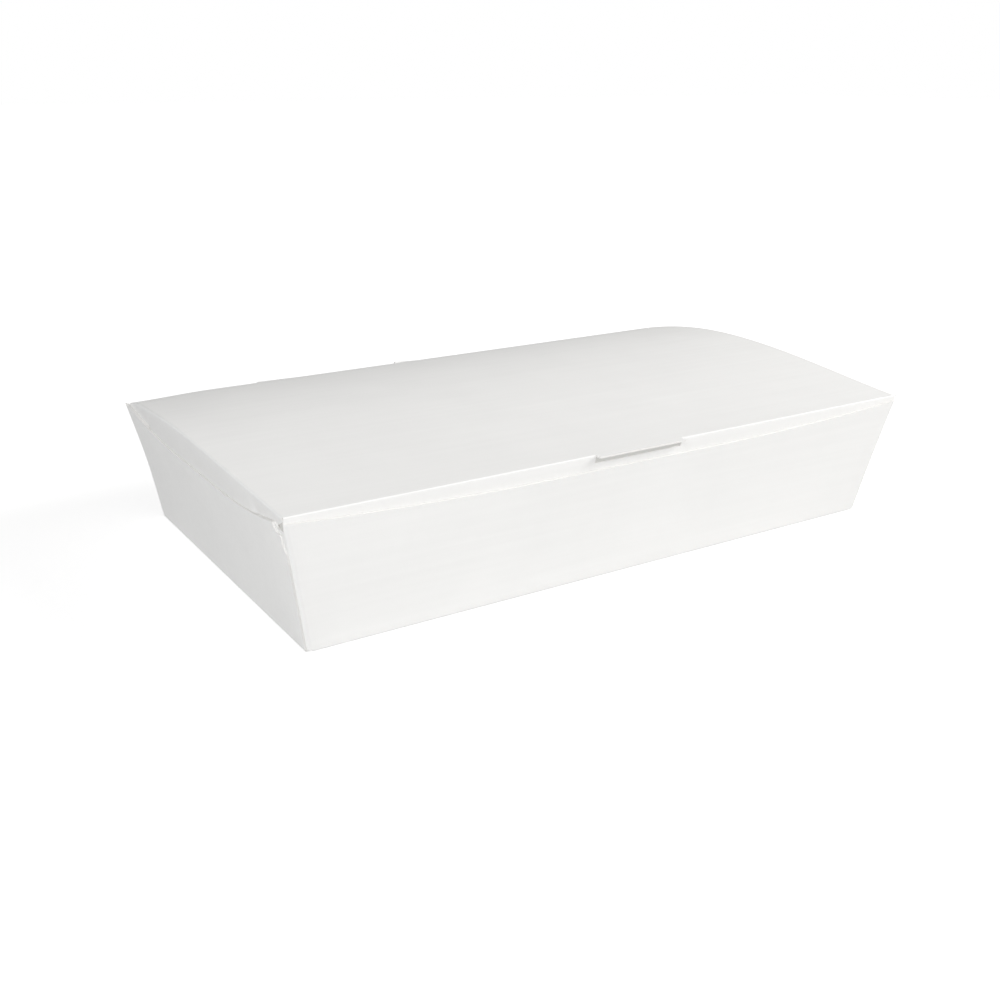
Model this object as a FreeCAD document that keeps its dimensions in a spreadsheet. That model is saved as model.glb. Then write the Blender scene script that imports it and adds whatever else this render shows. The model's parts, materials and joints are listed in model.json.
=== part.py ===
"""Takeaway food box of white folding card, lid closed: a tray with flaring walls and a lid that
hinges on the back wall, arches from front to back and tucks inside the other three walls.

Millimetres. The origin is the middle of the base's underside, +Z is up and -Y is the front.
"""

import FreeCAD, Part
import Sketcher
import math
import os

from FreeCAD import Vector

# Driving sizes: alias and value.
SIZES = [
    # Tray, over its outer faces.
    ("rim_length", 230.0),
    ("rim_width", 141.0),
    ("base_length", 215.0),
    ("base_width", 126.4),
    ("wall_height", 41.2),
    ("board", 0.5),
    # The front wall and the end walls dip between their corners.
    ("front_dip", 3.1),
    ("front_dip_run", 85.0),
    ("end_dip", 5.2),
    ("end_dip_run", 35.0),
    ("corner_land", 1.5),
    # The long walls turn the corners as tabs, glued inside the end walls.
    ("tab_reach", 24.0),
    ("edge_setback", 2.0),
    ("tray_fold_radius", 0.55),
    # Lid: creases, arch and the room between it and the tray.
    ("gap", 0.35),
    ("front_crease_rise", 1.9),
    ("front_end_inset", 0.5),
    ("back_end_inset", 1.7),
    ("arch_front_pull", 3.7),
    ("arch_back_pull", 12.6),
    ("arch_spread", 0.57),
    ("lid_fold_bevel", 0.3),
    # Flap that tucks behind the front wall.
    ("tuck_depth", 21.0),
    ("tuck_setback", 1.3),
    ("tuck_taper", 9.0),
    ("tuck_corner", 8.0),
    # Flaps that drop inside the end walls.
    ("side_depth", 22.0),
    ("side_setback", 2.2),
    ("side_taper", 10.0),
    ("side_corner", 8.0),
    # Thumb lip, cut free of the tuck flap in the middle of the front crease.
    ("lip_length", 33.0),
    ("lip_reach", 2.1),
]

# Slopes of the walls, and the thickness of one ply measured level, as expressions on the sheet.
END_FLARE = "((Sizes.rim_length - Sizes.base_length) / 2 / Sizes.wall_height)"
LONG_FLARE = "((Sizes.rim_width - Sizes.base_width) / 2 / Sizes.wall_height)"
END_PLY = f"(Sizes.board * sqrt(1 + {END_FLARE} * {END_FLARE}))"
LONG_PLY = f"(Sizes.board * sqrt(1 + {LONG_FLARE} * {LONG_FLARE}))"

# The folds are rounded by no more than the end walls' ply has room for at the base.
FOLD_ROOM = f"(Sizes.board / (1 - {END_FLARE} / sqrt(1 + {END_FLARE} * {END_FLARE})))"
FOLD_RADIUS = f"min(Sizes.tray_fold_radius; 0.95 * {FOLD_ROOM})"

# How far tools run past the card that they cut.
PAST = 10.0


def make_sheet(doc):
    """The driving sizes, one row each: name in column A, value with its alias in column B."""
    sheet = doc.addObject("Spreadsheet::Sheet", "Sizes")
    for row, (alias, value) in enumerate(SIZES, start=1):
        sheet.set(f"A{row}", alias)
        sheet.set(f"B{row}", str(value))
        sheet.setAlias(f"B{row}", alias)
    doc.recompute()
    return sheet


def origin_plane(body, role):
    return next(feature for feature in body.Origin.OriginFeatures if feature.Role == role)


def make_sketch(body, name, role):
    sketch = body.newObject("Sketcher::SketchObject", name)
    sketch.AttachmentSupport = (origin_plane(body, role), [""])
    sketch.MapMode = "FlatFace"
    return sketch


def bind(sketch, constraint, expression):
    """Adds a constraint whose value follows the sheet."""
    index = sketch.addConstraint(constraint)
    name = f"size_{index}"
    sketch.renameConstraint(index, name)
    sketch.setExpression(f"Constraints.{name}", expression)


def close_outline(sketch, parts):
    """Adds the pieces of a closed outline and joins each one's end to the next one's start.

    Each piece is its geometry and the numbers of its start and end points."""
    first = [sketch.addGeometry(geometry, False) for geometry, start, end in parts]
    for i, (geometry, start, end) in enumerate(parts):
        following = (i + 1) % len(parts)
        joint = Sketcher.Constraint("Coincident", first[i], end, first[following], parts[following][1])
        sketch.addConstraint(joint)


def level_rectangle(body, name, height, length, width):
    """A rectangle about the Z axis at a height, all three given as expressions."""
    sketch = make_sketch(body, name, "XY_Plane")
    sketch.setExpression("AttachmentOffset.Base.z", height)
    sheet = body.Document.Sizes
    x, y = sheet.rim_length / 2, sheet.rim_width / 2
    corners = [Vector(-x, -y), Vector(x, -y), Vector(x, y), Vector(-x, y)]
    sides = [Part.LineSegment(corners[i], corners[(i + 1) % 4]) for i in range(4)]
    close_outline(sketch, [(side, 1, 2) for side in sides])
    for side in (0, 2):
        sketch.addConstraint(Sketcher.Constraint("Horizontal", side))
        sketch.addConstraint(Sketcher.Constraint("Vertical", side + 1))
    sketch.addConstraint(Sketcher.Constraint("Symmetric", 0, 1, 1, 2, -1, 1))
    bind(sketch, Sketcher.Constraint("DistanceX", 0, 1, 0, 2, 2 * x), length)
    bind(sketch, Sketcher.Constraint("DistanceY", 1, 1, 1, 2, 2 * y), width)
    return sketch


def flaring_block(body, kind, name, floor, length_loss, width_loss):
    """A block with the tray's own flare from a floor height to the rim, less an amount off its
    length and width."""
    low = level_rectangle(
        body,
        f"{name}_low",
        floor,
        f"Sizes.base_length + 2 * {END_FLARE} * ({floor}) - 2 * ({length_loss})",
        f"Sizes.base_width + 2 * {LONG_FLARE} * ({floor}) - 2 * ({width_loss})",
    )
    high = level_rectangle(
        body,
        f"{name}_high",
        "Sizes.wall_height",
        f"Sizes.rim_length - 2 * ({length_loss})",
        f"Sizes.rim_width - 2 * ({width_loss})",
    )
    block = body.newObject(kind, name)
    block.Profile = low
    block.Sections = [high]
    block.Ruled = True
    return block


def dip_outline(body, name, role, span, run, dip):
    """Outline of what is cut from a wall's top: level in the middle, with an arc up to each corner.

    The span, the arcs' run and the dip are given as names in the sheet."""
    sketch = make_sketch(body, name, role)
    sheet = body.Document.Sizes
    top = sheet.wall_height
    floor = top - getattr(sheet, dip)
    half = getattr(sheet, span) / 2 - sheet.corner_land
    arc_run = getattr(sheet, run)
    foot = half - arc_run
    radius = (arc_run**2 + (top - floor) ** 2) / (2 * (top - floor))
    turn = math.asin(arc_run / radius)
    down = 1.5 * math.pi
    left_circle = Part.Circle(Vector(-foot, floor + radius), Vector(0, 0, 1), radius)
    right_circle = Part.Circle(Vector(foot, floor + radius), Vector(0, 0, 1), radius)
    parts = [
        (Part.ArcOfCircle(left_circle, down - turn, down), 1, 2),
        (Part.LineSegment(Vector(-foot, floor), Vector(foot, floor)), 1, 2),
        (Part.ArcOfCircle(right_circle, down, down + turn), 1, 2),
        (Part.LineSegment(Vector(half, top), Vector(half, top + PAST)), 1, 2),
        (Part.LineSegment(Vector(half, top + PAST), Vector(-half, top + PAST)), 1, 2),
        (Part.LineSegment(Vector(-half, top + PAST), Vector(-half, top)), 1, 2),
    ]
    close_outline(sketch, parts)
    for line in (1, 4):
        sketch.addConstraint(Sketcher.Constraint("Horizontal", line))
    for line in (3, 5):
        sketch.addConstraint(Sketcher.Constraint("Vertical", line))
    # Each arc's centre is straight above its foot, so it meets the level part smoothly.
    sketch.addConstraint(Sketcher.Constraint("Vertical", 0, 2, 0, 3))
    sketch.addConstraint(Sketcher.Constraint("Vertical", 2, 1, 2, 3))
    sketch.addConstraint(Sketcher.Constraint("Symmetric", 0, 1, 2, 2, -2))
    sketch.addConstraint(Sketcher.Constraint("DistanceY", 3, 1, 3, 2, PAST))
    half_span = f"Sizes.{span} / 2 - Sizes.corner_land"
    bind(sketch, Sketcher.Constraint("DistanceX", -1, 1, 2, 2, half), half_span)
    bind(sketch, Sketcher.Constraint("DistanceX", 1, 2, 2, 2, arc_run), f"Sizes.{run}")
    bind(sketch, Sketcher.Constraint("DistanceX", 0, 1, 0, 2, arc_run), f"Sizes.{run}")
    bind(sketch, Sketcher.Constraint("DistanceY", -1, 1, 2, 2, top), "Sizes.wall_height")
    bind(sketch, Sketcher.Constraint("DistanceY", 1, 2, 2, 2, top - floor), f"Sizes.{dip}")
    return sketch


def make_tray(doc):
    """Base, four flaring walls and the glued corner tabs, all of one ply of card."""
    body = doc.addObject("PartDesign::Body", "tray")
    body.Label = "tray"
    # Long walls with their tabs, then the end walls outside the tabs, whose cut edges stop short
    # of the corners.
    flaring_block(body, "PartDesign::AdditiveLoft", "long_walls", "0", END_PLY, "0")
    flaring_block(body, "PartDesign::AdditiveLoft", "end_walls", "0", "0", "Sizes.edge_setback")
    # The room inside, and the wider part of it that lies between the tabs.
    inside = f"2 * {END_PLY}"
    flaring_block(body, "PartDesign::SubtractiveLoft", "inside", "Sizes.board", inside, LONG_PLY)
    between = "Sizes.tab_reach"
    flaring_block(body, "PartDesign::SubtractiveLoft", "between_tabs", "Sizes.board", END_PLY, between)
    doc.recompute()

    front = body.newObject("PartDesign::Pocket", "front_dip_cut")
    outline = ("front_dip_outline", "XZ_Plane", "rim_length", "front_dip_run", "front_dip")
    front.Profile = dip_outline(body, *outline)
    front.Reversed = True
    front.setExpression("Length", "Sizes.rim_width")
    ends = body.newObject("PartDesign::Pocket", "end_dip_cut")
    outline = ("end_dip_outline", "YZ_Plane", "rim_width", "end_dip_run", "end_dip")
    ends.Profile = dip_outline(body, *outline)
    ends.Midplane = True
    ends.setExpression("Length", "Sizes.rim_length * 2")
    doc.recompute()
    round_tray_folds(doc, body, ends)
    return body


def round_tray_folds(doc, body, base):
    """Rounds the card's outside where it turns: the four corners and round the base."""
    sheet = doc.Sizes
    half_width = sheet.base_width / 2
    names = []
    for number, edge in enumerate(base.Shape.Edges, start=1):
        box = edge.BoundBox
        level = box.ZMax < 1e-6
        outside = abs(abs(edge.CenterOfMass.y) - half_width) < 1e-3 or box.YLength > sheet.base_width / 2
        at_long_wall = abs(max(abs(box.YMin), abs(box.YMax)) - sheet.rim_width / 2) < sheet.board
        corner = box.ZMin < 1e-6 and box.ZMax > sheet.wall_height / 2 and at_long_wall
        if (level and outside) or corner:
            names.append(f"Edge{number}")
    folds = body.newObject("PartDesign::Fillet", "folds")
    folds.Base = (base, names)
    folds.setExpression("Radius", FOLD_RADIUS)
    doc.recompute()


class Lid:
    """The lid's lines, worked out from the sheet."""

    def __init__(self, s):
        self.s = s
        self.long_flare = (s.rim_width - s.base_width) / 2 / s.wall_height
        self.end_flare = (s.rim_length - s.base_length) / 2 / s.wall_height
        long_ply = s.board * math.hypot(1, self.long_flare)
        # The back crease is on the back wall's outer face, one ply and the gap above its top.
        self.hinge_z = s.wall_height + s.board + s.gap
        self.hinge_y = s.rim_width / 2 + self.long_flare * (self.hinge_z - s.wall_height)
        # The front crease lets the tuck flap hang parallel to the front wall, the gap behind it.
        self.front_z = s.wall_height + s.front_crease_rise
        self.front_y = -(s.rim_width / 2 - long_ply - s.gap + self.long_flare * s.front_crease_rise)
        self.front_half = s.rim_length / 2 - s.front_end_inset
        self.back_half = s.rim_length / 2 - s.back_end_inset
        self.lean = self.find_lean()

    def chord_z(self, share):
        return self.front_z + (self.hinge_z - self.front_z) * share

    def chord_x(self, share):
        return self.front_half + (self.back_half - self.front_half) * share

    def rise(self, share):
        """The arch's height above its chord, at a share of the way from front to back."""
        front = 3 * share * (1 - share) ** 2 * self.s.arch_front_pull
        back = 3 * share**2 * (1 - share) * self.s.arch_back_pull
        return front + back

    def front_slope(self):
        """The panel's climb at the front crease."""
        return (3 * self.s.arch_front_pull + self.hinge_z - self.front_z) / (self.hinge_y - self.front_y)

    def end_rim_z(self, y):
        """Height of the end walls' rim at y."""
        s = self.s
        half_span = s.rim_width / 2 - s.corner_land
        from_foot = max(abs(y) - (half_span - s.end_dip_run), 0.0)
        if from_foot >= s.end_dip_run:
            return s.wall_height
        radius = (s.end_dip_run**2 + s.end_dip**2) / (2 * s.end_dip)
        return s.wall_height - s.end_dip + radius - math.sqrt(radius**2 - from_foot**2)

    def find_lean(self):
        """How far the side flaps lean for each unit down, to pass the end walls' rims and tabs
        with the gap to spare."""
        s = self.s
        plies = 2 * s.board * math.hypot(1, self.end_flare)
        leans = []
        stations = 40
        for i in range(1, stations):
            share = i / stations
            y = self.front_y + (self.hinge_y - self.front_y) * share
            if abs(y) > s.rim_width / 2 - s.side_setback:
                continue
            rim_z = self.end_rim_z(y)
            inner = s.rim_length / 2 - self.end_flare * (s.wall_height - rim_z) - plies
            crease_x = self.chord_x(share) + s.arch_spread * self.rise(share)
            crease_z = self.chord_z(share) + self.rise(share)
            leans.append((crease_x - inner + s.gap) / (crease_z - rim_z))
        return max(leans)

    def crease(self, side, inset, drop):
        """A side crease, moved in and down: one cubic from the front to the back of the lid."""
        poles = []
        pulls = [0.0, self.s.arch_front_pull, self.s.arch_back_pull, 0.0]
        for i, pull in enumerate(pulls):
            share = i / 3
            x = side * (self.chord_x(share) + self.s.arch_spread * pull - inset)
            y = self.front_y + (self.hinge_y - self.front_y) * share
            poles.append(Vector(x, y, self.chord_z(share) + pull - drop))
        curve = Part.BezierCurve()
        curve.setPoles(poles)
        return curve.toShape()

    def channel(self, inset, drop, depth, bevel):
        """A solid under the arch between the planes of the side flaps, to a depth below it, with
        a narrow bevel along each crease."""
        right = [
            self.crease(1, inset + bevel, drop),
            self.crease(1, inset + self.lean * bevel, drop + bevel),
            self.crease(1, inset + self.lean * depth, drop + depth),
        ]
        left = [
            self.crease(-1, inset + self.lean * depth, drop + depth),
            self.crease(-1, inset + self.lean * bevel, drop + bevel),
            self.crease(-1, inset + bevel, drop),
        ]
        if bevel == 0:
            right, left = right[1:], left[:2]
        ring = right + left
        faces = [Part.makeRuledSurface(edge, ring[(i + 1) % len(ring)]) for i, edge in enumerate(ring)]
        for end in (0, -1):
            corners = [edge.Vertexes[end].Point for edge in ring]
            faces.append(Part.Face(Part.makePolygon(corners + corners[:1])))
        shell = Part.Shell(faces)
        shell.sewShape()
        solid = Part.Solid(shell)
        if solid.Volume < 0:
            solid.reverse()
        return solid


def one_solid(shape):
    """The single solid in a shape."""
    if len(shape.Solids) != 1:
        raise RuntimeError(f"{len(shape.Solids)} solids where one is wanted")
    return shape.Solids[0]


def prism_along_x(points, half):
    """A solid with a polygon of (y, z) points as its section, from -half to half in X."""
    corners = [Vector(-half, y, z) for y, z in points]
    face = Part.Face(Part.makePolygon(corners + corners[:1]))
    return face.extrude(Vector(2 * half, 0, 0))


def rounded(solid, radius, direction, wanted):
    """Rounds the straight edges along a direction whose middle point passes a test."""
    edges = []
    for edge in solid.Edges:
        ends = [vertex.Point for vertex in edge.Vertexes]
        if len(ends) == 2 and wanted(edge.CenterOfMass):
            span = ends[1] - ends[0]
            if abs(abs(span * direction) - edge.Length) < 1e-4:
                edges.append(edge)
    return solid.makeFillet(radius, edges)


def lid_sheet(lid):
    """The arched panel with both side flaps, from one curved channel."""
    s = lid.s
    deep = s.side_depth + PAST
    side_ply = s.board * (math.hypot(1, lid.lean) + lid.lean)
    card = lid.channel(0, 0, deep, s.lid_fold_bevel)
    card = card.cut(lid.channel(side_ply, s.board, deep + PAST, 0))

    # The side flaps' outline, seen from the end: set back and tapered at both ends.
    front_top = (lid.front_y + s.side_setback, lid.front_z - s.board)
    back_top = (lid.hinge_y - s.side_setback, lid.hinge_z - s.board)
    low_z = lid.front_z - s.side_depth
    front_low = (front_top[0] + s.side_taper, low_z)
    back_low = (back_top[0] - s.side_taper, low_z)
    under = low_z - deep
    outline = [
        (lid.front_y - PAST, front_top[1]),
        front_top,
        front_low,
        back_low,
        back_top,
        (lid.hinge_y + PAST, back_top[1]),
        (lid.hinge_y + PAST, under),
        (lid.front_y - PAST, under),
    ]
    waste = prism_along_x(outline, s.rim_length)
    waste = rounded(waste, s.side_corner, Vector(1, 0, 0), lambda p: abs(p.z - low_z) < 1e-3)
    return card.cut(waste)


def tuck_flap(lid):
    """The front flap, parallel to the front wall, with tapered ends and round corners."""
    s = lid.s
    down = Vector(0, lid.long_flare, -1).normalize()
    inward = Vector(0, 1, lid.long_flare).normalize()
    crease = Vector(0, lid.front_y, lid.front_z)
    top = lid.front_half - s.tuck_setback
    low = top - s.tuck_taper
    outline = [(-top, 0), (top, 0), (low, s.tuck_depth), (-low, s.tuck_depth)]
    corners = [crease + Vector(x, 0, 0) + down * depth for x, depth in outline]
    flap = Part.Face(Part.makePolygon(corners + corners[:1])).extrude(inward * s.board)
    low_z = (crease + down * s.tuck_depth).z
    return rounded(flap, s.tuck_corner, inward, lambda p: abs(p.z - low_z) < 2 * s.board)


def thumb_lip(lid):
    """The lip that stays in the lid's plane, and the window that it leaves in the tuck flap."""
    s = lid.s
    slope = lid.front_slope()
    back = lid.front_y + 2 * s.board
    front = lid.front_y - s.lip_reach

    def top(y):
        return lid.front_z + slope * (y - lid.front_y)

    upper = [(front, top(front)), (back, top(back))]
    under = [(y, z - s.board) for y, z in reversed(upper)]
    lip = prism_along_x(upper + under, s.lip_length / 2)
    window_top = lid.front_z - s.board
    window_low = lid.front_z - s.lip_reach
    y_out = lid.front_y - PAST
    y_in = lid.front_y + 3 * s.board
    opening = [(y_out, window_low), (y_in, window_low), (y_in, window_top), (y_out, window_top)]
    window = prism_along_x(opening, s.lip_length / 2)
    return lip, window


def make_lid(doc, sheet):
    """The lid as one piece of card: arched panel, side flaps, tuck flap and thumb lip."""
    lid = Lid(sheet)
    s = lid.s
    card = lid_sheet(lid).fuse(tuck_flap(lid))
    # The front is trimmed to the tuck flap's outer face, with a bevel along the crease.
    far = s.wall_height + PAST
    bevel = s.lid_fold_bevel
    front = lid.front_y - PAST
    trim = prism_along_x(
        [
            (front, lid.front_z + PAST),
            (lid.front_y + bevel, lid.front_z + PAST),
            (lid.front_y + bevel, lid.front_z + bevel * lid.front_slope()),
            (lid.front_y + bevel * lid.long_flare, lid.front_z - bevel),
            (lid.front_y + far * lid.long_flare, lid.front_z - far),
            (front, lid.front_z - far),
        ],
        s.rim_length,
    )
    card = one_solid(card.cut(trim).removeSplitter())
    lip, window = thumb_lip(lid)
    card = one_solid(card.cut(window).fuse(lip).removeSplitter())
    feature = doc.addObject("Part::Feature", "lid")
    feature.Label = "lid"
    feature.Shape = card
    return feature


def check(doc, pieces):
    """Stops if a feature failed, or a piece is missing, invalid or not one solid."""
    for thing in doc.Objects:
        for state in ("Invalid", "Error"):
            if state in thing.State:
                raise RuntimeError(f"{thing.Name} is {thing.State}")
    for piece in pieces:
        shape = piece.Shape
        if shape.isNull() or not shape.isValid():
            raise RuntimeError(f"{piece.Label} has no valid shape")
        if len(shape.Solids) != 1:
            raise RuntimeError(f"{piece.Label} has {len(shape.Solids)} solids")
        print(piece.Label, round(shape.Volume, 1), shape.BoundBox)


def main():
    os.makedirs("parts", exist_ok=True)
    doc = FreeCAD.newDocument("takeaway_box")
    sheet = make_sheet(doc)
    pieces = [make_tray(doc), make_lid(doc, sheet)]
    doc.recompute()
    check(doc, pieces)
    for piece in pieces:
        piece.Shape.exportStep(f"parts/{piece.Label}.step")


main()
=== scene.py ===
"""Takeaway food box of white folding card, lid closed, in soft studio light on a white floor.

The card is built as sheets with rounded folds and real cut edges: the tray with its glued corner
tabs, the lid with its flaps and thumb lip, and the fold that joins them. Lengths are millimetres
until a mesh is made.
"""

import json
import math

import bmesh
import bpy
import numpy as np
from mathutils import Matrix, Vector


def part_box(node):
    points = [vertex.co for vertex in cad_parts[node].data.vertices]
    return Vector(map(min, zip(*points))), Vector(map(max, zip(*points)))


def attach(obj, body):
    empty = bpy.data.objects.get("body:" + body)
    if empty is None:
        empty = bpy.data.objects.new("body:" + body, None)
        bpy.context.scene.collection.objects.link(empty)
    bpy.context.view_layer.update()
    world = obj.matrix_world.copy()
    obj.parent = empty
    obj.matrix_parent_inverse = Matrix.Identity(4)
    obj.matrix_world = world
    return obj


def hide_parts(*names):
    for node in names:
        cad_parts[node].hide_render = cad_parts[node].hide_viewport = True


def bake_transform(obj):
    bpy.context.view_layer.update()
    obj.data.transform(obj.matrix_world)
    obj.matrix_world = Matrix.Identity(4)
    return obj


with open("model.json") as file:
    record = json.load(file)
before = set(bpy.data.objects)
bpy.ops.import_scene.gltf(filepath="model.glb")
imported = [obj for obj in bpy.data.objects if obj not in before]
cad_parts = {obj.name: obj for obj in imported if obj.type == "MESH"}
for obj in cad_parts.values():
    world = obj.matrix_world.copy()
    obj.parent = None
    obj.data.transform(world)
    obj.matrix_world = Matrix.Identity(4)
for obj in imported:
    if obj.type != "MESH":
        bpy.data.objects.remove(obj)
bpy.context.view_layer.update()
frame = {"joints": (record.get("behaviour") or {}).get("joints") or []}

MM = 0.001
WELD = 1e-7
SHARP_ANGLE = math.radians(38)

# Sizes that the frame gives.
HINGE_Y, HINGE_Z = (value / MM for value in frame["joints"][0]["pos_m"][1:])
WALL_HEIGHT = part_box("tray")[1][2] / MM
RIM_WIDTH = 2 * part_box("tray")[1][1] / MM

# Tray, over its outer faces.
RIM_LENGTH = 230.0
BASE_LENGTH = 215.0
BASE_WIDTH = 126.4
BOARD = 0.5
GLUE_GAP = 0.04
FRONT_DIP, FRONT_DIP_RUN = 3.1, 85.0
END_DIP, END_DIP_RUN = 5.7, 48.0
CORNER_LAND = 1.5
TAB_REACH = 24.0
TAB_CORNER = 5.0
BASE_FOLD_RADIUS = 0.6
CORNER_FOLD_RADIUS = 1.35

# The end walls' cut edges, and the relief cut into both plies beside the front corners.
FRONT_SETBACK, RELIEF_SETBACK, BACK_SETBACK = 1.0, 2.9, 0.3
SETBACK_LOW, SETBACK_HIGH = 31.0, 34.5
EDGE_CORNER = 1.0
FOOT_NOTCH, FOOT_RISE = 0.37, 2.0
RELIEF_DEPTH, TAB_RELIEF, RELIEF_FLAT, RELIEF_END = 4.1, 2.6, 4.0, 7.8

# Lid: creases, arch and flaps.
GAP = 0.35
FRONT_CREASE_RISE = 1.9
FRONT_END_INSET, BACK_END_INSET = 0.3, 1.7
FRONT_PULL, BACK_PULL = 3.7, 12.6
ARCH_SPREAD = 0.57
FRONT_FOLD_RADIUS = 0.4
SIDE_FOLD_RADIUS = 0.6
PANEL_INSET = 1.1
TUCK_DEPTH, TUCK_SETBACK, TUCK_TAPER, TUCK_CORNER = 21.0, 0.4, 9.0, 8.0
TUCK_SHOULDER, TUCK_STEP = 2.4, 0.5
TUCK_PRESS, PRESS_RUN, RELEASE_START, RELEASE_RUN = 0.05, 1.4, 6.0, 8.0
SIDE_DEPTH, SIDE_SETBACK, SIDE_TAPER, SIDE_CORNER = 22.0, 0.5, 8.0, 8.0
SIDE_STEP, SIDE_SHOULDER, SHOULDER_RUN = 1.3, 4.6, 6.5
RUB = 0.08
TAB_RUN = 3.0
LEAST_LEAN, MOST_LEAN, INNER_LEAN = -1.2, 0.42, 0.3
LIP_LENGTH, LIP_REACH, LIP_KERF, LIP_SHIFT = 33.0, 1.9, 0.12, 0.8
WINDOW_DEPTH = 2.65

# The lid's back edge: it rises to the right, and its left end has sunk and drawn in. Both start
# a little before the lid's middle line, and the sinking starts this far left of the middle. The
# wall's rim gives way only under what has sunk further than the slack.
BACK_TILT, LEFT_SINK, LEFT_DRAW = 0.35, 0.75, 0.3
BACK_START, BACK_RUN, DRAW_RUN = -5.0, 50.0, 70.0
SINK_START, SINK_RUN = 85.0, 28.0
RIM_SLACK = 0.3

# The back crease: how far onto the lid its fold reaches, its radius, and the places along it
# where the score was cut through and the card stands up in a nick.
HINGE_FOLD_REACH = 1.2
HINGE_RADIUS = 0.6
NICKS = {-67.2: -0.1, -66.4: 0.35, -50.0: 0.0, -10.4: -0.2, -9.8: 0.75, -1.0: 0.0}

# Unevenness of the card: bulge of the long walls, ripples of the walls and the lid, and how far
# in the end walls are drawn at the left or right (-1, 1) and the front or back (1, -1).
WALL_BULGE = 0.25
LONG_WALL_RIPPLE, END_WALL_RIPPLE, LID_RIPPLE = 0.06, 0.08, 0.10
END_WALL_DRAW = {(-1, 1): 0.1, (-1, -1): 0.7, (1, 1): 0.45, (1, -1): 0.5}

# Camera, at the photograph's place.
VIEW_AZIMUTH = math.radians(-32.23)
VIEW_ELEVATION = math.radians(19.81)
VIEW_DISTANCE = 0.4246
VIEW_TARGET = Vector((-0.0049, 0.00044, 0.0055))
LENS = 42.72

# Lamps: name, place, size, power and colour.
LAMPS = [
    ("left", (-1.0, -0.9, 0.5), 0.9, 11.66, (1.0, 1.0, 1.0)),
    ("right", (0.8, -0.5, 0.6), 0.5, 8.0, (1.0, 0.985, 0.965)),
]
LAMP_AIM = (0, 0, 0.03)
SKY_LIGHT = 0.374

# Card: gloss, the scales of its patterns (per metre), and how far its tone strays either way.
CARD_GLOSS = 0.12
CLOUD_SCALE, FIBRE_SCALE, STREAK_SCALE = 45.0, 2600.0, (14, 520, 520)
DARKER, LIGHTER = 0.975, 1.02

# Painted light: the inner faces glow, a stand-in for light that the thin card lets into the box. The
# glow's strength on faces that are shut in on all sides, how fast it fades as they open, and how far
# away a face still shuts them in (m).
PAINTED_INNER_GLOW, INNER_FADE = 0.163, 10.0
INNER_REACH = 0.3

# The floor, and its lift to white: from and to which distance in metres, and how much at each.
FLOOR_SIZE, FLOOR_TONE = 6.0, 0.6
FLOOR_LIFT = (0.16, 0.45, 0.62, 1.0)

END_FLARE = (RIM_LENGTH - BASE_LENGTH) / 2 / WALL_HEIGHT
LONG_FLARE = (RIM_WIDTH - BASE_WIDTH) / 2 / WALL_HEIGHT
END_PLY = BOARD * math.hypot(1, END_FLARE)
LONG_PLY = BOARD * math.hypot(1, LONG_FLARE)


def spread(start, end, step):
    """Evenly spaced values from start to end, about a step apart."""
    return np.linspace(start, end, max(2, math.ceil(abs(end - start) / step) + 1))


def stations(*stops, step=2.5):
    """Values that hit each stop, about a step apart between them."""
    runs = [spread(a, b, step)[:-1] for a, b in zip(stops, stops[1:])]
    return np.concatenate(runs + [[stops[-1]]])


def fold_line(corner, into, out, radius, segments=7):
    """Points of a rounded fold in a plane: the corner, the directions in and out, the radius."""
    corner, into, out = (np.asarray(v, float) for v in (corner, into, out))
    into, out = into / np.linalg.norm(into), out / np.linalg.norm(out)
    turn = math.acos(np.clip(into @ out, -1, 1))
    reach = radius * math.tan(turn / 2)
    start = corner - into * reach
    side = out - into * (into @ out)
    side /= np.linalg.norm(side)
    angles = np.linspace(0, turn, segments + 1)[:, None]
    return start + radius * (np.sin(angles) * into + (1 - np.cos(angles)) * side)


def dip(across, half_span, run, depth):
    """How far a rim lies below its corners: level in the middle, with an arc up to each corner."""
    from_foot = np.clip(np.abs(across) - (half_span - run), 0, run)
    radius = (run**2 + depth**2) / (2 * depth)
    return depth - (radius - np.sqrt(radius**2 - from_foot**2))


def taper_depth(from_end, depth, taper, corner):
    """Depth of a flap at a distance in from its end: a slanted end and a round corner."""
    slope = depth / taper
    lean = math.atan(slope)
    reach = corner * math.tan(lean / 2)
    start, stop = taper - reach * math.cos(lean), taper + reach
    slant = np.clip(from_end, 0, None) * slope
    round_part = depth - corner + np.sqrt(np.clip(corner**2 - (stop - from_end) ** 2, 0, None))
    result = np.where(from_end < start, slant, np.where(from_end < stop, round_part, depth))
    return np.minimum(result, depth)


def ease(value):
    """A smooth step from 0 to 1."""
    value = np.clip(value, 0, 1)
    return value * value * (3 - 2 * value)


def ripple(a, b, length, seed):
    """A smooth wandering value of about -1 to 1 over two lengths."""
    total = 0.0
    for k in range(1, 5):
        turn = seed * 1.7 + k * 2.4
        wave = (a * math.cos(turn) + b * math.sin(turn)) * 2 * math.pi / length * (0.7 + 0.25 * k)
        total = total + np.sin(wave + seed * k) / k
    return total / 2


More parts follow.
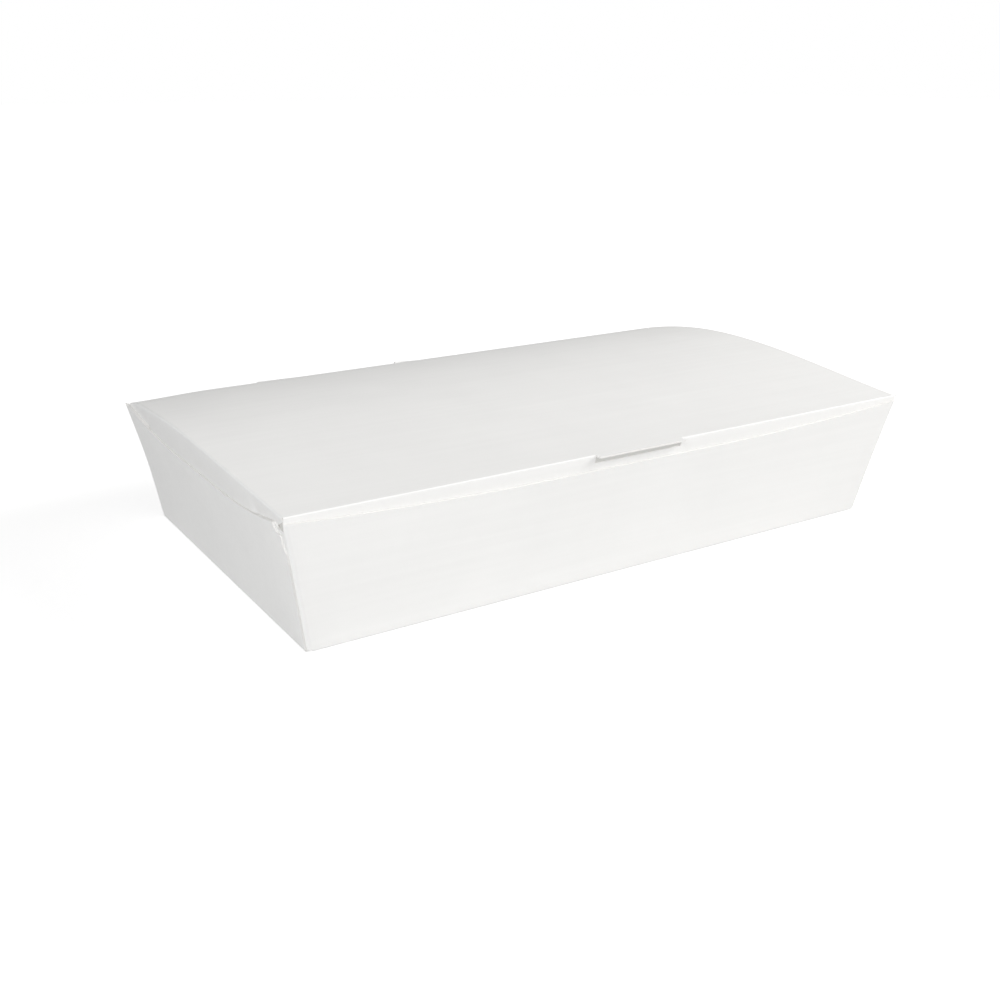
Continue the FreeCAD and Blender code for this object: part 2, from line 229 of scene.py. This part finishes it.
class Sheet:
    """One ply of card, as grids of points on its outer face that are welded where they meet."""

    def __init__(self):
        self.points = []
        self.quads = []

    def add(self, grid, outward, keep=None):
        """Adds a grid of points in rows and columns, its middle cell facing outward.

        keep, where given, says of each cell whether it is card."""
        grid = np.asarray(grid, float)
        rows, columns = grid.shape[:2]
        first = len(self.points)
        self.points.extend((grid.reshape(-1, 3) * MM).tolist())
        i, j = (rows - 1) // 2, (columns - 1) // 2
        normal = np.cross(grid[i + 1, j] - grid[i, j], grid[i, j + 1] - grid[i, j])
        flip = normal @ np.asarray(outward, float) < 0
        for i in range(rows - 1):
            for j in range(columns - 1):
                if keep is not None and not keep[i, j]:
                    continue
                a = first + i * columns + j
                quad = (a, a + columns, a + columns + 1, a + 1)
                self.quads.append(quad[::-1] if flip else quad)


def card_piece(name, sheet, materials, thickness=BOARD):
    """An object with the sheet's outer face, its inner face a thickness in, and cut edges."""
    mesh = bpy.data.meshes.new(name)
    mesh.from_pydata(sheet.points, [], sheet.quads)
    work = bmesh.new()
    work.from_mesh(mesh)
    bmesh.ops.remove_doubles(work, verts=work.verts, dist=WELD)
    bmesh.ops.delete(work, geom=[v for v in work.verts if not v.link_faces], context="VERTS")
    work.to_mesh(mesh)
    work.free()
    piece = bpy.data.objects.new(name, mesh)
    bpy.context.scene.collection.objects.link(piece)
    for material in materials:
        mesh.materials.append(material)
    ply = piece.modifiers.new("ply", "SOLIDIFY")
    ply.thickness = thickness * MM
    ply.offset = -1
    ply.material_offset = 1
    ply.material_offset_rim = 2
    evaluated = piece.evaluated_get(bpy.context.evaluated_depsgraph_get())
    shaped = bpy.data.meshes.new_from_object(evaluated)
    piece.modifiers.clear()
    piece.data = shaped
    shaped.name = name
    shaped.shade_smooth()
    shaped.set_sharp_from_angle(angle=SHARP_ANGLE)
    return piece


def wall_section():
    """Columns round a long wall and its two tabs: for each, which part it is and how far along."""
    straight = TAB_REACH - CORNER_FOLD_RADIUS
    reliefs = stations(0, RELIEF_END - CORNER_FOLD_RADIUS, step=0.3)
    shares = np.concatenate([reliefs, spread(RELIEF_END, straight, 1.2)]) / straight
    columns = [("tab", -1, t) for t in shares[::-1]]
    columns += [("fold", -1, t) for t in np.linspace(0, 1, 11)[1:-1]]
    columns += [("wall", 0, t) for t in stations(-1, -0.94, 0.94, 1, step=0.02)]
    columns += [("fold", 1, t) for t in np.linspace(1, 0, 11)[1:-1]]
    columns += [("tab", 1, t) for t in shares]
    return columns


def end_rim(y, relief=RELIEF_DEPTH):
    """Height of an end wall's rim, with the relief that is cut beside its front corner."""
    fall = dip(y, RIM_WIDTH / 2 - CORNER_LAND, END_DIP_RUN, END_DIP)
    share = (y + RIM_WIDTH / 2 - RELIEF_FLAT) / (RELIEF_END - RELIEF_FLAT)
    return WALL_HEIGHT - np.maximum(fall, relief * np.sqrt(1 - np.clip(share, 0, 1) ** 2))


def back_rim(x):
    """Height of the back wall's rim, which has sunk at its left end."""
    return WALL_HEIGHT + np.minimum(0, sag(x, HINGE_Y) + RIM_SLACK)


def inward_bow(side, front, height):
    """How far in an end wall is drawn at a height, at its front or back edge: most half way up."""
    return END_WALL_DRAW[side, front] * np.sin(math.pi * np.clip(height / WALL_HEIGHT, 0, 1)) ** 1.2


def long_wall_point(column, height, front):
    """A point on a long wall or tab. front is 1 for the front wall and -1 for the back."""
    part, side, share = column
    half_width = BASE_WIDTH / 2 + LONG_FLARE * height
    bow = inward_bow(side if side else (1 if share > 0 else -1), front, height)
    half_length = BASE_LENGTH / 2 - END_PLY - GLUE_GAP + END_FLARE * height - bow
    radius = CORNER_FOLD_RADIUS
    if part == "wall":
        x = share * (half_length - radius)
        bulge = WALL_BULGE * math.cos(math.pi / 2 * share) * math.sin(math.pi * height / WALL_HEIGHT)
        wander = LONG_WALL_RIPPLE * ripple(x, height, 70.0, 3.0 + front)
        fade = min(1.0, (1 - abs(share)) * 12) * min(1.0, height / 6)
        return np.array([x, -front * (half_width - (bulge - wander) * fade), height])
    if part == "fold":
        turn = math.pi / 2 * share
        x = half_length - radius + radius * math.cos(turn)
        y = half_width - radius + radius * math.sin(turn)
        return np.array([side * x, -front * y, height])
    y = half_width - radius - share * (TAB_REACH - radius)
    return np.array([side * half_length, -front * y, height])


def long_wall_top(column, front):
    """Height of a long wall's or tab's top edge."""
    part, side, share = column
    half = RIM_LENGTH / 2 - END_PLY - CORNER_FOLD_RADIUS
    if part == "wall":
        if front < 0:
            return back_rim(share * half)
        return WALL_HEIGHT - dip(share * half, RIM_LENGTH / 2 - CORNER_LAND, FRONT_DIP_RUN, FRONT_DIP)
    corner = WALL_HEIGHT if front > 0 else back_rim(side * half)
    if part == "fold":
        tab = end_rim(-front * (RIM_WIDTH / 2 - CORNER_FOLD_RADIUS), TAB_RELIEF)
        return corner + (tab - corner) * ease(1 - 3 * share)
    from_fold = share * (TAB_REACH - CORNER_FOLD_RADIUS)
    beyond = max(from_fold - (TAB_REACH - CORNER_FOLD_RADIUS - TAB_CORNER), 0)
    rounded = TAB_CORNER - math.sqrt(TAB_CORNER**2 - beyond**2)
    y = -front * (RIM_WIDTH / 2 - CORNER_FOLD_RADIUS - from_fold)
    return end_rim(y, TAB_RELIEF) - rounded


def base_fold(flare, half):
    """The fold between the base and a wall: distance out from the middle, and height."""
    return fold_line((half, 0), (-flare, -1), (-1, 0), BASE_FOLD_RADIUS)[::-1]


def front_edge(height):
    """Where an end wall's front cut edge lies at a height."""
    raised = ease((height - SETBACK_LOW) / (SETBACK_HIGH - SETBACK_LOW))
    setback = FRONT_SETBACK + (RELIEF_SETBACK - FRONT_SETBACK) * raised
    return -(BASE_WIDTH / 2 + LONG_FLARE * height - setback)


def end_wall_point(side, rim_y, share):
    """A point of an end wall: its column's place on the rim, and its share of the way up."""
    low_rim, high_rim = front_edge(WALL_HEIGHT), RIM_WIDTH / 2 - BACK_SETBACK
    across = (rim_y - low_rim) / (high_rim - low_rim)
    beyond = max(EDGE_CORNER - (rim_y - low_rim), 0)
    top = end_rim(rim_y) - EDGE_CORNER + math.sqrt(max(EDGE_CORNER**2 - beyond**2, 0))
    low = base_fold(END_FLARE, BASE_LENGTH / 2)[-1][1]
    height = low + (top - low) * share
    notch = FOOT_NOTCH * (1 - ease(height / FOOT_RISE))
    back = BASE_WIDTH / 2 + LONG_FLARE * height - BACK_SETBACK - notch
    y = front_edge(height) + (back - front_edge(height)) * across
    bow = (1 - across) * inward_bow(side, 1, height) + across * inward_bow(side, -1, height)
    wander = END_WALL_RIPPLE * ripple(y, height, 60.0, 1.0 + side) * min(1.0, height / 8)
    wander *= 1 - abs(2 * across - 1) ** 6
    return side * (BASE_LENGTH / 2 + END_FLARE * height - bow + wander), y, height


def make_tray(materials):
    """Base, long walls with their tabs, and the end walls outside the tabs, as one sheet."""
    sheet = Sheet()
    columns = wall_section()
    wall_columns = [c for c in columns if c[0] == "wall"]
    rise = spread(0, 1, 0.045)
    fold = base_fold(LONG_FLARE, BASE_WIDTH / 2)
    low = fold[-1][1]
    for front in (1, -1):
        grid = []
        for t in rise:
            row = []
            for c in columns:
                top = long_wall_top(c, front)
                row.append(long_wall_point(c, low + (top - low) * t, front))
            grid.append(row)
        sheet.add(grid, (0, -front, 0))
        grid = []
        for reach, height in fold:
            row = []
            for c in wall_columns:
                x = long_wall_point(c, height, front)[0]
                row.append((x, -front * reach, height))
            grid.append(row)
        grid[-1] = [long_wall_point(c, low, front) for c in wall_columns]
        sheet.add(grid, (0, -front, -1))

    # Base, with the narrower strips that lead to the end walls.
    flat_y = fold[0][0]
    end_fold = base_fold(END_FLARE, BASE_LENGTH / 2)
    flat_x = end_fold[0][0]
    low_rim, high_rim = front_edge(WALL_HEIGHT), RIM_WIDTH / 2 - BACK_SETBACK
    relief_end = RELIEF_END - RIM_WIDTH / 2
    rim_line = stations(low_rim, relief_end, step=0.25)
    rim_line = np.concatenate([rim_line, stations(relief_end, high_rim, step=2.4)[1:]])
    foot_line = [end_wall_point(1, y, 0)[1] for y in rim_line]
    x_main = np.array([long_wall_point(c, 0.0, 1)[0] for c in wall_columns])
    sheet.add([[(x, y, 0) for x in x_main] for y in [-flat_y, *foot_line, flat_y]], (0, 0, -1))
    for side in (-1, 1):
        edge = x_main[0] if side < 0 else x_main[-1]
        sheet.add([[(edge, y, 0), (side * flat_x, y, 0)] for y in foot_line], (0, 0, -1))
        wall = [[end_wall_point(side, y, t) for y in rim_line] for t in rise]
        fold_rows = [[(side * reach, y, height) for y in foot_line] for reach, height in end_fold]
        sheet.add(fold_rows[:-1] + [wall[0]], (side, 0, -1))
        sheet.add(wall, (side, 0, 0))
    return card_piece("tray_card", sheet, materials)


class LidShape:
    """The lid's lines: the arched panel, its creases and the planes of its flaps."""

    def __init__(self):
        self.front_z = WALL_HEIGHT + FRONT_CREASE_RISE
        self.front_y = -(RIM_WIDTH / 2 - LONG_PLY - GAP + LONG_FLARE * FRONT_CREASE_RISE)
        self.front_half = RIM_LENGTH / 2 - FRONT_END_INSET
        self.back_half = RIM_LENGTH / 2 - BACK_END_INSET

    def share(self, y):
        return (y - self.front_y) / (HINGE_Y - self.front_y)

    def rise(self, share):
        front = 3 * share * (1 - share) ** 2 * FRONT_PULL
        back = 3 * share**2 * (1 - share) * BACK_PULL
        return front + back

    def top(self, y):
        share = self.share(y)
        return self.front_z + (HINGE_Z - self.front_z) * share + self.rise(share)

    def half(self, y):
        share = self.share(y)
        straight = self.front_half + (self.back_half - self.front_half) * share
        return straight + ARCH_SPREAD * self.rise(share)

    def slope(self, y):
        return (self.top(y + 0.01) - self.top(y - 0.01)) / 0.02

    def edge(self, side, y):
        drawn = LEFT_DRAW * ease((y - BACK_START) / DRAW_RUN) if side < 0 else 0
        return self.half(y) - drawn

    def side_crease(self, side, y):
        x = self.edge(side, y)
        return x, self.top(y) + sag(side * x, y)

    def rim_contact(self, side, y):
        """Where a side flap rubs on the inner face of the end wall, or of its tab."""
        rim = float(end_rim(y))
        front = (RIM_WIDTH / 2 - y) / RIM_WIDTH
        bow = front * inward_bow(side, 1, rim) + (1 - front) * inward_bow(side, -1, rim)
        plies = 1 + ease((abs(y) - (RIM_WIDTH / 2 - TAB_REACH)) / TAB_RUN)
        return BASE_LENGTH / 2 + END_FLARE * rim - bow - plies * END_PLY - GLUE_GAP - RUB, rim


def sag(x, y):
    """How far the lid stands above its even shape: the tilt and the sunken left end at the back."""
    to_back = ease((y - BACK_START) / BACK_RUN)
    sunk = LEFT_SINK * ease((-x - SINK_START) / SINK_RUN)
    return (BACK_TILT * x / (RIM_LENGTH / 2) - sunk) * to_back


def side_fold(lean):
    """Section of a side crease: distance out from the crease, and height above it."""
    return fold_line((0, 0), (1, 0), (-lean, -1), SIDE_FOLD_RADIUS)


def make_lid(materials):
    """Panel, side flaps, tuck flap and thumb lip, as one sheet."""
    lid = LidShape()
    sheet = Sheet()
    front_slope = lid.slope(lid.front_y + 0.02)
    front_fold = fold_line(
        (lid.front_y, lid.front_z), (-1, -front_slope), (LONG_FLARE, -1), FRONT_FOLD_RADIUS
    )
    start_y = front_fold[0][0]
    back_start = HINGE_Y - HINGE_FOLD_REACH

    side_front = lid.front_y + SIDE_SETBACK
    side_back = HINGE_Y - SIDE_SETBACK - HINGE_FOLD_REACH
    ends = SHOULDER_RUN + SIDE_TAPER + SIDE_CORNER
    y_rows = stations(start_y, side_front - 0.02, side_front, side_front + ends, step=0.8)
    y_middle = stations(y_rows[-1], side_back - ends, step=3.0)[1:]
    y_last = stations(y_middle[-1], side_back, side_back + 0.02, back_start, step=0.8)[1:]
    y_rows = np.concatenate([y_rows, y_middle, y_last])
    has_side = (y_rows > side_front - 1e-6) & (y_rows < side_back + 1e-6)

    lip_left, lip_right = LIP_SHIFT - LIP_LENGTH / 2, LIP_SHIFT + LIP_LENGTH / 2
    tuck_half = lid.front_half - TUCK_SETBACK
    row_half = lid.half(start_y)
    bend = TUCK_STEP + TUCK_TAPER + TUCK_CORNER
    x_front = stations(
        -row_half, -tuck_half, -tuck_half + TUCK_STEP, -tuck_half + bend, lip_left, lip_right,
        tuck_half - bend, tuck_half - TUCK_STEP, tuck_half, row_half, step=1.6,
    )
    shares = x_front / row_half

    # Panel. Where an edge has no flap it runs out to the crease line and is cut there.
    grid = []
    for row, y in enumerate(y_rows):
        points = []
        for share in shares:
            half = lid.edge(math.copysign(1, share), y) - (PANEL_INSET if has_side[row] else 0)
            x = share * half
            points.append([x, y, lid.top(y) + sag(x, y) + panel_wave(x, y)])
        grid.append(points)
    grid = np.array(grid)
    beyond_tuck = np.abs(x_front) > tuck_half + 1e-6
    grid[0, beyond_tuck, 1] = lid.front_y
    grid[0, beyond_tuck, 2] = lid.front_z
    sheet.add(grid, (0, 0, 1))

    # Side creases and flaps.
    rows = np.nonzero(has_side)[0]
    from_end = np.minimum(y_rows - side_front, side_back - y_rows)
    shoulder = SIDE_STEP + (SIDE_SHOULDER - SIDE_STEP) * np.clip(from_end / SHOULDER_RUN, 0, 1)
    depth = shoulder + taper_depth(
        from_end - SHOULDER_RUN, SIDE_DEPTH - SIDE_SHOULDER, SIDE_TAPER, SIDE_CORNER
    )
    for side in (-1, 1):
        strip = []
        for row in rows:
            y = y_rows[row]
            crease_x, crease_z = lid.side_crease(side, y)
            rub_x, rub_z = lid.rim_contact(side, y)
            lean = (crease_x - rub_x) / max(crease_z - rub_z, 0.3)
            lean = min(max(lean, LEAST_LEAN), MOST_LEAN)
            lower = max(lean, INNER_LEAN)
            edge_x, _, edge_z = grid[row, -1 if side > 0 else 0]
            line = [(abs(edge_x), edge_z)]
            line += [(crease_x + dx, crease_z + dz) for dx, dz in side_fold(lean)]
            end_x, end_z = line[-1]
            full = max(end_z - (lid.front_z - depth[row]), 0.1)
            turn = min(max(end_z - rub_z, 0.05), full * 0.9)
            upper = spread(0, turn, turn / 6)[1:]
            for drop in [*upper, *spread(turn, full, (full - turn) / 8)[1:]]:
                inward = lean * min(drop, turn) + lower * max(drop - turn, 0)
                line.append((end_x - inward, end_z - drop))
            strip.append([(side * x, y, z) for x, z in line])
        sheet.add(strip, (side, 0, 0))

    # Front crease and tuck flap, with the window under the lip.
    from_end = tuck_half - np.abs(x_front)
    outline = TUCK_SHOULDER + taper_depth(
        from_end - TUCK_STEP, TUCK_DEPTH - TUCK_SHOULDER, TUCK_TAPER, TUCK_CORNER
    )
    columns = np.nonzero(~beyond_tuck)[0]
    down = np.array([LONG_FLARE, -1]) / math.hypot(1, LONG_FLARE)
    corner = np.array([lid.front_y, lid.front_z])
    start_depth = math.hypot(*(front_fold[-1] - corner))
    strip = []
    for column in columns:
        line = [tuple(grid[0, column, 1:])] + [tuple(point) for point in front_fold[1:]]
        window = min(WINDOW_DEPTH, (start_depth + outline[column]) / 2)
        middle = spread(window, 6.0, 0.5) if outline[column] > 8 else [window]
        depths = np.interp(
            np.linspace(0, 1, 18), np.linspace(0, 1, len(middle) + 4),
            [*middle, *np.linspace(middle[-1], outline[column], 5)[1:]],
        )
        for value in depths:
            press = TUCK_PRESS * ease(value / PRESS_RUN)
            press *= 1 - ease((value - RELEASE_START) / RELEASE_RUN)
            point = corner + down * value - np.array([press, 0])
            line.append(tuple(point))
        strip.append([(x_front[column], y, z) for y, z in line])
    keep = np.ones((len(columns) - 1, len(strip[0]) - 1), bool)
    middle = (x_front[columns][:-1] + x_front[columns][1:]) / 2
    under_lip = (middle > lip_left) & (middle < lip_right)
    keep[under_lip, : len(front_fold)] = False
    sheet.add(strip, (0, -1, 0), keep)

    # Thumb lip, in the panel's plane.
    inside = (x_front > lip_left - 1e-6) & (x_front < lip_right + 1e-6)
    lip = []
    reach = start_y - lid.front_y + LIP_REACH
    for t in np.linspace(0, 1, 6):
        squeeze = 1 - 2 * LIP_KERF / LIP_LENGTH * min(1.0, t * 5)
        y = start_y - reach * t
        drop = front_slope * reach * t
        row = [(LIP_SHIFT + (x - LIP_SHIFT) * squeeze, y, z - drop) for x, _, z in grid[0, inside]]
        lip.append(row)
    sheet.add(lip, (0, 0, 1))
    return card_piece("lid_card", sheet, materials)


def panel_wave(x, y):
    """Slight unevenness of the lid's panel, none at its creases."""
    lid_share = (y + RIM_WIDTH / 2) / RIM_WIDTH
    inside = np.clip(1 - (x / (RIM_LENGTH / 2)) ** 4, 0, 1)
    inside = inside * np.clip(4 * lid_share * (1 - lid_share), 0, 1)
    return LID_RIPPLE * ripple(x, y, 95.0, 2.0) * inside


def nick(x):
    """How far the back crease stands up at a place along it."""
    return np.interp(x, list(NICKS), list(NICKS.values()), left=0.0, right=0.0)


def make_hinge(materials):
    """The fold between the back wall and the lid."""
    lid = LidShape()
    sheet = Sheet()
    slope = lid.slope(HINGE_Y - 0.02)
    curve = fold_line((HINGE_Y, HINGE_Z), (LONG_FLARE, 1), (-1, -slope), HINGE_RADIUS)
    raised = [ease(3 * k / (len(curve) - 1)) for k in range(len(curve))] + [0.0]
    back_y = HINGE_Y - HINGE_FOLD_REACH
    line = [tuple(p) for p in curve] + [(back_y, lid.top(back_y))]
    columns = stations(-lid.edge(-1, back_y), *NICKS, lid.edge(1, back_y), step=2.5)
    rows = [[(x, RIM_WIDTH / 2, back_rim(x)) for x in columns]]
    for (y, z), share in zip(line, raised):
        rows.append([(x, y, z + sag(x, y) + share * nick(x)) for x in columns])
    sheet.add(rows, (0, 1, 1))
    piece = card_piece("lid_fold", sheet, materials)
    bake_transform(piece)
    return piece


def card_material(name, colour, roughness, grain):
    """White folding card: paper fibres, faint mill streaks and a little unevenness."""
    material = bpy.data.materials.new(name)
    material.use_nodes = True
    nodes, links = material.node_tree.nodes, material.node_tree.links
    shader = nodes["Principled BSDF"]
    shader.inputs["Roughness"].default_value = roughness
    shader.inputs["Specular IOR Level"].default_value = CARD_GLOSS
    place = nodes.new("ShaderNodeTexCoord").outputs["Object"]

    def noise(scale, stretch, detail, label):
        mapping = nodes.new("ShaderNodeMapping")
        mapping.inputs["Scale"].default_value = stretch
        links.new(place, mapping.inputs["Vector"])
        texture = nodes.new("ShaderNodeTexNoise")
        texture.label = label
        texture.inputs["Scale"].default_value = scale
        texture.inputs["Detail"].default_value = detail
        links.new(mapping.outputs["Vector"], texture.inputs["Vector"])
        return texture.outputs["Fac"]

    cloud = noise(CLOUD_SCALE, (1, 1, 1), 3.0, "cloud")
    fibre = noise(FIBRE_SCALE, (1, 1, 1), 3.0, "fibre")
    streak = noise(1.0, STREAK_SCALE, 2.0, "streak")

    ramp = nodes.new("ShaderNodeValToRGB")
    ramp.color_ramp.elements[0].position = 0.30
    ramp.color_ramp.elements[0].color = (*[c * DARKER for c in colour], 1)
    ramp.color_ramp.elements[1].position = 0.70
    ramp.color_ramp.elements[1].color = (*[min(1.0, c * LIGHTER) for c in colour], 1)

    def mix(a, b, share):
        node = nodes.new("ShaderNodeMix")
        node.inputs["Factor"].default_value = share
        links.new(a, node.inputs["A"])
        links.new(b, node.inputs["B"])
        return node.outputs["Result"]

    tone = mix(mix(cloud, fibre, 0.35), streak, 0.35)
    links.new(tone, ramp.inputs["Fac"])
    links.new(ramp.outputs["Color"], shader.inputs["Base Color"])

    height = mix(fibre, streak, 0.45)
    bump = nodes.new("ShaderNodeBump")
    bump.inputs["Strength"].default_value = grain
    bump.inputs["Distance"].default_value = 0.00006
    links.new(height, bump.inputs["Height"])
    links.new(bump.outputs["Normal"], shader.inputs["Normal"])
    return material


def add_painted_inner_glow(material):
    """Painted light: faces that are shut in on all sides glow a little, as if light came through the
    card.
    """
    nodes, links = material.node_tree.nodes, material.node_tree.links
    open_share = nodes.new("ShaderNodeAmbientOcclusion")
    open_share.samples = 2
    open_share.inputs["Distance"].default_value = INNER_REACH
    shut_in = nodes.new("ShaderNodeMath")
    shut_in.operation = "SUBTRACT"
    shut_in.inputs[0].default_value = 1.0
    links.new(open_share.outputs["AO"], shut_in.inputs[1])
    sharper = nodes.new("ShaderNodeMath")
    sharper.operation = "POWER"
    sharper.inputs[1].default_value = INNER_FADE
    links.new(shut_in.outputs["Value"], sharper.inputs[0])
    light = nodes.new("ShaderNodeMath")
    light.operation = "MULTIPLY"
    light.inputs[1].default_value = PAINTED_INNER_GLOW
    links.new(sharper.outputs["Value"], light.inputs[0])
    # Painted light: this emission makes the inner card glow where it is shut in.
    shader = nodes["Principled BSDF"]
    shader.inputs["Emission Color"].default_value = (1.0, 0.99, 0.97, 1)
    links.new(light.outputs["Value"], shader.inputs["Emission Strength"])


def make_floor():
    """White floor that keeps the box's shadow. Seen by the camera it is lifted to white."""
    mesh = bpy.data.meshes.new("floor")
    corners = [(x * FLOOR_SIZE, y * FLOOR_SIZE, 0) for x, y in ((-1, -1), (1, -1), (1, 1), (-1, 1))]
    mesh.from_pydata(corners, [], [(0, 1, 2, 3)])
    floor = bpy.data.objects.new("floor", mesh)
    bpy.context.scene.collection.objects.link(floor)
    material = bpy.data.materials.new("floor_white")
    material.use_nodes = True
    nodes, links = material.node_tree.nodes, material.node_tree.links
    shader = nodes["Principled BSDF"]
    shader.inputs["Base Color"].default_value = (FLOOR_TONE, FLOOR_TONE, FLOOR_TONE, 1)
    shader.inputs["Roughness"].default_value = 0.9
    shader.inputs["Specular IOR Level"].default_value = 0.0
    shader.inputs["Emission Color"].default_value = (1, 1, 1, 1)
    away = nodes.new("ShaderNodeVectorMath")
    away.operation = "LENGTH"
    links.new(nodes.new("ShaderNodeTexCoord").outputs["Object"], away.inputs[0])
    lift = nodes.new("ShaderNodeMapRange")
    lift.interpolation_type = "SMOOTHSTEP"
    for name, value in zip(("From Min", "From Max", "To Min", "To Max"), FLOOR_LIFT):
        lift.inputs[name].default_value = value
    links.new(away.outputs["Value"], lift.inputs["Value"])
    glow = nodes.new("ShaderNodeMath")
    glow.operation = "MULTIPLY"
    links.new(seen_directly(nodes, links), glow.inputs[0])
    links.new(lift.outputs["Result"], glow.inputs[1])
    links.new(glow.outputs["Value"], shader.inputs["Emission Strength"])
    mesh.materials.append(material)


def seen_directly(nodes, links):
    """1 for rays that the camera, a gloss or a glass sends, and 0 for the light on the box."""
    path = nodes.new("ShaderNodeLightPath")
    result = path.outputs["Is Camera Ray"]
    for other in ("Is Glossy Ray", "Is Transmission Ray"):
        either = nodes.new("ShaderNodeMath")
        either.operation = "MAXIMUM"
        links.new(result, either.inputs[0])
        links.new(path.outputs[other], either.inputs[1])
        result = either.outputs["Value"]
    return result


def make_world():
    """Even pale light from all round, and plain white where the camera looks past the floor."""
    world = bpy.data.worlds.new("studio")
    bpy.context.scene.world = world
    world.use_nodes = True
    nodes, links = world.node_tree.nodes, world.node_tree.links
    sky = nodes["Background"]
    sky.inputs["Color"].default_value = (1, 1, 1, 1)
    sky.inputs["Strength"].default_value = SKY_LIGHT
    white = nodes.new("ShaderNodeBackground")
    white.inputs["Color"].default_value = (1, 1, 1, 1)
    white.inputs["Strength"].default_value = 1.0
    blend = nodes.new("ShaderNodeMixShader")
    links.new(seen_directly(nodes, links), blend.inputs["Fac"])
    links.new(sky.outputs["Background"], blend.inputs[1])
    links.new(white.outputs["Background"], blend.inputs[2])
    links.new(blend.outputs["Shader"], nodes["World Output"].inputs["Surface"])


def soft_lamp(name, place, size, power, colour):
    """A square soft box that faces the box's middle."""
    data = bpy.data.lights.new(name, "AREA")
    data.size = size
    data.energy = power
    data.color = colour
    lamp = bpy.data.objects.new(name, data)
    lamp.location = place
    aim = Vector(LAMP_AIM) - Vector(place)
    lamp.rotation_euler = aim.to_track_quat("-Z", "Y").to_euler()
    bpy.context.scene.collection.objects.link(lamp)


def make_camera():
    """The photograph's camera, which looks at VIEW_TARGET."""
    data = bpy.data.cameras.new("camera")
    data.lens = LENS
    camera = bpy.data.objects.new("camera", data)
    back = Vector(
        (
            math.sin(VIEW_AZIMUTH) * math.cos(VIEW_ELEVATION),
            -math.cos(VIEW_AZIMUTH) * math.cos(VIEW_ELEVATION),
            math.sin(VIEW_ELEVATION),
        )
    )
    camera.location = VIEW_TARGET + back * VIEW_DISTANCE
    camera.rotation_euler = (-back).to_track_quat("-Z", "Y").to_euler()
    bpy.context.scene.collection.objects.link(camera)
    bpy.context.scene.camera = camera


def main():
    """The three pieces of card, then the floor, the light and the camera."""
    outside = card_material("card_outside", (0.88, 0.88, 0.872), 0.8, 0.5)
    inside = card_material("card_inside", (0.79, 0.79, 0.78), 0.8, 0.5)
    edge = card_material("card_edge", (0.83, 0.825, 0.81), 0.8, 1.0)
    add_painted_inner_glow(inside)
    materials = [outside, inside, edge]
    tray = make_tray(materials)
    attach(tray, "tray")
    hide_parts("tray")
    lid = make_lid(materials)
    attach(lid, "lid")
    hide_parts("lid")
    hinge = make_hinge(materials)
    make_floor()
    make_world()
    for lamp in LAMPS:
        soft_lamp(*lamp)
    make_camera()
    bpy.context.scene.view_settings.view_transform = "Standard"


main()
